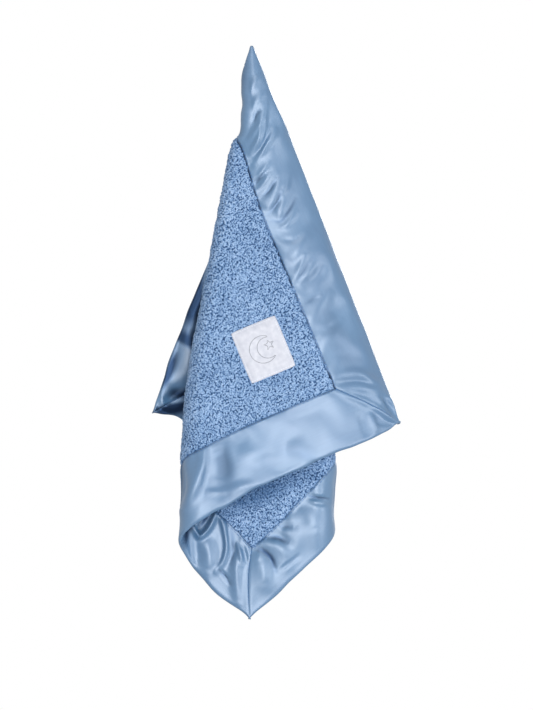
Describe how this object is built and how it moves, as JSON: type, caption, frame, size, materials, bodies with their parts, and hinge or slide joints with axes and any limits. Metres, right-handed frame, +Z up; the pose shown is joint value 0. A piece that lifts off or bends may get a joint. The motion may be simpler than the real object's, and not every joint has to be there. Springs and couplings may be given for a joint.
{
  "type": "comfort blanket",
  "caption": "Small square plush comfort blanket with a wide satin binding, mitred corners and a sewn label, hanging folded from one corner.",
  "frame": {"origin": "middle of the gripped spot on the blanket's front face, 55 mm down from the held corner", "axes": "+Z up along the hanging blanket, -Y out of the front face towards the viewer, +X to the viewer's right"},
  "size_m": [0.2159, 0.1087, 0.5002],
  "materials": {
    "plush_pile": "soft looped pile, matt",
    "satin": "polyester satin, soft sheen",
    "sewing_thread": "twisted thread",
    "label_weave": "white satin-woven label, matt",
    "label_thread": "fine white thread"
  },
  "bodies": {
    "root": {"front_plush_panel": "plush_pile", "back_plush_panel": "plush_pile", "satin_binding_right": "satin", "satin_binding_bottom": "satin", "satin_binding_left": "satin", "satin_binding_top": "satin", "topstitch_front": "sewing_thread", "topstitch_back": "sewing_thread", "mitre_stitch_top_right_front": "sewing_thread", "mitre_stitch_top_right_back": "sewing_thread", "mitre_stitch_bottom_right_front": "sewing_thread", "mitre_stitch_bottom_right_back": "sewing_thread", "mitre_stitch_bottom_left_front": "sewing_thread", "mitre_stitch_bottom_left_back": "sewing_thread", "mitre_stitch_top_left_front": "sewing_thread", "mitre_stitch_top_left_back": "sewing_thread", "sewn_label": "label_weave", "label_stitch": "label_thread"}
  },
  "joints": []
}
